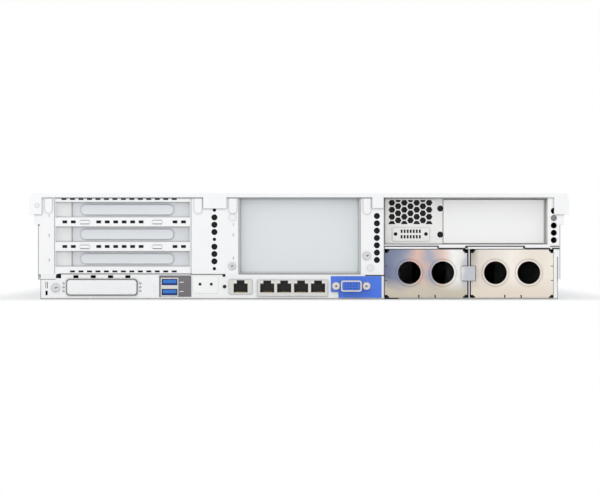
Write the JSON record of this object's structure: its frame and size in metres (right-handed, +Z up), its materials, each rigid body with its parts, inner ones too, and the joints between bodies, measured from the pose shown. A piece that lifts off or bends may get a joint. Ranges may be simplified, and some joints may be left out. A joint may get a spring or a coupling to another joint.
{
  "type": "2u rack server",
  "caption": "Rack-mount server seen from its rear: vented riser cage with slot covers, recessed panels, supply blanks with finger holes, port row, sliding cover, front drive carriers and fans.",
  "frame": {"origin": "centre of the bottom of the bounding box", "axes": "+Y from the port face to the drive face (depth), +Z up, +X to the right when looking at the port face"},
  "size_m": [0.4826, 0.6794, 0.0873],
  "materials": {
    "aluminium_fins": "bare aluminium",
    "black_plastic": "black moulding",
    "board": "green circuit board",
    "bright_sheet": "polished sheet",
    "connector_shell": "bare metal shell",
    "cover_sheet": "satin light grey sheet",
    "dark_sheet": "dark grey powder coat",
    "screw_steel": "plated steel",
    "slot_sheet": "satin blue-grey sheet",
    "steel": "satin zinc-plated sheet"
  },
  "bodies": {
    "chassis": {"chassis_tub": "steel", "rear_frame": "steel", "rear_io_panel": "steel", "rear_upper_panel": "steel", "psu_cage": "steel", "riser_cage": "steel", "slot_cover_1": "slot_sheet", "slot_cover_2": "slot_sheet", "slot_cover_3": "slot_sheet", "spare_riser_blank": "slot_sheet", "serial_port_blank": "steel", "rear_bay_blank": "slot_sheet", "network_module_blank": "steel", "usb_ports": "connector_shell", "management_lan_port": "connector_shell", "lan_port_block": "connector_shell", "vga_port": "connector_shell", "system_board": "board", "cpu_heatsinks": "aluminium_fins", "memory_modules": "board", "riser_board": "board", "air_baffle": "black_plastic", "fan_tray": "steel", "fan_housings": "black_plastic", "drive_cage": "steel", "drive_backplane": "board", "front_panel": "dark_sheet", "left_ear": "dark_sheet", "right_ear": "dark_sheet", "panel_screws": "screw_steel", "rail_studs": "screw_steel", "front_top_cover": "cover_sheet"},
    "cover": {"top_cover": "cover_sheet"},
    "cover_latch": {"cover_latch": "black_plastic"},
    "psu_blank_1": {"psu_blank_1": "bright_sheet"},
    "psu_blank_2": {"psu_blank_2": "bright_sheet"},
    "power_button": {"power_button": "black_plastic"},
    "pull_tag": {"pull_tag": "black_plastic"},
    "left_release_lever": {"left_release_lever": "black_plastic"},
    "right_release_lever": {"right_release_lever": "black_plastic"},
    "drive_carrier_1": {"drive_carrier_1": "dark_sheet"},
    "drive_carrier_2": {"drive_carrier_2": "dark_sheet"},
    "drive_carrier_3": {"drive_carrier_3": "dark_sheet"},
    "drive_carrier_4": {"drive_carrier_4": "dark_sheet"},
    "drive_carrier_5": {"drive_carrier_5": "dark_sheet"},
    "drive_carrier_6": {"drive_carrier_6": "dark_sheet"},
    "drive_carrier_7": {"drive_carrier_7": "dark_sheet"},
    "drive_carrier_8": {"drive_carrier_8": "dark_sheet"},
    "drive_lever_1": {"drive_lever_1": "black_plastic"},
    "drive_lever_2": {"drive_lever_2": "black_plastic"},
    "drive_lever_3": {"drive_lever_3": "black_plastic"},
    "drive_lever_4": {"drive_lever_4": "black_plastic"},
    "drive_lever_5": {"drive_lever_5": "black_plastic"},
    "drive_lever_6": {"drive_lever_6": "black_plastic"},
    "drive_lever_7": {"drive_lever_7": "black_plastic"},
    "drive_lever_8": {"drive_lever_8": "black_plastic"},
    "fan_rotor_1": {"fan_rotor_1": "black_plastic"},
    "fan_rotor_2": {"fan_rotor_2": "black_plastic"},
    "fan_rotor_3": {"fan_rotor_3": "black_plastic"},
    "fan_rotor_4": {"fan_rotor_4": "black_plastic"}
  },
  "joints": [
    {"name": "cover_slide", "type": "slide", "parent": "chassis", "child": "cover", "axis": [0, -1, 0], "range_m": [0, 0.0127]},
    {"name": "cover_latch_turn", "type": "hinge", "parent": "cover", "child": "cover_latch", "pos_m": [0, 0.06, 0.08525], "axis": [-1, 0, 0], "range_deg": [0, 90]},
    {"name": "psu_blank_1_slide", "type": "slide", "parent": "chassis", "child": "psu_blank_1", "axis": [0, -1, 0], "range_m": [0, 0.052]},
    {"name": "psu_blank_2_slide", "type": "slide", "parent": "chassis", "child": "psu_blank_2", "axis": [0, -1, 0], "range_m": [0, 0.052]},
    {"name": "drive_carrier_1_slide", "type": "slide", "parent": "chassis", "child": "drive_carrier_1", "axis": [0, 1, 0], "range_m": [0, 0.1]},
    {"name": "drive_lever_1_turn", "type": "hinge", "parent": "drive_carrier_1", "child": "drive_lever_1", "pos_m": [0.0844, 0.3205, 0.0142], "axis": [-1, 0, 0], "range_deg": [0, 60]},
    {"name": "drive_carrier_2_slide", "type": "slide", "parent": "chassis", "child": "drive_carrier_2", "axis": [0, 1, 0], "range_m": [0, 0.1]},
    {"name": "drive_lever_2_turn", "type": "hinge", "parent": "drive_carrier_2", "child": "drive_lever_2", "pos_m": [0.1014, 0.3205, 0.0142], "axis": [-1, 0, 0], "range_deg": [0, 60]},
    {"name": "drive_carrier_3_slide", "type": "slide", "parent": "chassis", "child": "drive_carrier_3", "axis": [0, 1, 0], "range_m": [0, 0.1]},
    {"name": "drive_lever_3_turn", "type": "hinge", "parent": "drive_carrier_3", "child": "drive_lever_3", "pos_m": [0.1184, 0.3205, 0.0142], "axis": [-1, 0, 0], "range_deg": [0, 60]},
    {"name": "drive_carrier_4_slide", "type": "slide", "parent": "chassis", "child": "drive_carrier_4", "axis": [0, 1, 0], "range_m": [0, 0.1]},
    {"name": "drive_lever_4_turn", "type": "hinge", "parent": "drive_carrier_4", "child": "drive_lever_4", "pos_m": [0.1354, 0.3205, 0.0142], "axis": [-1, 0, 0], "range_deg": [0, 60]},
    {"name": "drive_carrier_5_slide", "type": "slide", "parent": "chassis", "child": "drive_carrier_5", "axis": [0, 1, 0], "range_m": [0, 0.1]},
    {"name": "drive_lever_5_turn", "type": "hinge", "parent": "drive_carrier_5", "child": "drive_lever_5", "pos_m": [0.1524, 0.3205, 0.0142], "axis": [-1, 0, 0], "range_deg": [0, 60]},
    {"name": "drive_carrier_6_slide", "type": "slide", "parent": "chassis", "child": "drive_carrier_6", "axis": [0, 1, 0], "range_m": [0, 0.1]},
    {"name": "drive_lever_6_turn", "type": "hinge", "parent": "drive_carrier_6", "child": "drive_lever_6", "pos_m": [0.1694, 0.3205, 0.0142], "axis": [-1, 0, 0], "range_deg": [0, 60]},
    {"name": "drive_carrier_7_slide", "type": "slide", "parent": "chassis", "child": "drive_carrier_7", "axis": [0, 1, 0], "range_m": [0, 0.1]},
    {"name": "drive_lever_7_turn", "type": "hinge", "parent": "drive_carrier_7", "child": "drive_lever_7", "pos_m": [0.1864, 0.3205, 0.0142], "axis": [-1, 0, 0], "range_deg": [0, 60]},
    {"name": "drive_carrier_8_slide", "type": "slide", "parent": "chassis", "child": "drive_carrier_8", "axis": [0, 1, 0], "range_m": [0, 0.1]},
    {"name": "drive_lever_8_turn", "type": "hinge", "parent": "drive_carrier_8", "child": "drive_lever_8", "pos_m": [0.2034, 0.3205, 0.0142], "axis": [-1, 0, 0], "range_deg": [0, 60]},
    {"name": "fan_1_spin", "type": "hinge", "parent": "chassis", "child": "fan_rotor_1", "pos_m": [-0.156, 0.12, 0.0422], "axis": [0, 1, 0], "continuous": true},
    {"name": "fan_2_spin", "type": "hinge", "parent": "chassis", "child": "fan_rotor_2", "pos_m": [-0.052, 0.12, 0.0422], "axis": [0, 1, 0], "continuous": true},
    {"name": "fan_3_spin", "type": "hinge", "parent": "chassis", "child": "fan_rotor_3", "pos_m": [0.052, 0.12, 0.0422], "axis": [0, 1, 0], "continuous": true},
    {"name": "fan_4_spin", "type": "hinge", "parent": "chassis", "child": "fan_rotor_4", "pos_m": [0.156, 0.12, 0.0422], "axis": [0, 1, 0], "continuous": true},
    {"name": "power_button_press", "type": "slide", "parent": "chassis", "child": "power_button", "axis": [0, -1, 0], "range_m": [0, 0.0015], "stiffness_N_per_m": 500, "springref_m": -0.001},
    {"name": "pull_tag_slide", "type": "slide", "parent": "chassis", "child": "pull_tag", "axis": [0, 1, 0], "range_m": [0, 0.055]},
    {"name": "left_release_lever_turn", "type": "hinge", "parent": "chassis", "child": "left_release_lever", "pos_m": [0.2176, 0.3197, 0.045], "axis": [0, 0, 1], "range_deg": [0, 25]},
    {"name": "right_release_lever_turn", "type": "hinge", "parent": "chassis", "child": "right_release_lever", "pos_m": [-0.2176, 0.3197, 0.045], "axis": [0, 0, -1], "range_deg": [0, 25]}
  ],
  "couplings": [
    {"joint": "cover_latch_turn", "follows": "cover_slide", "rad_per_m": 123.6}
  ]
}
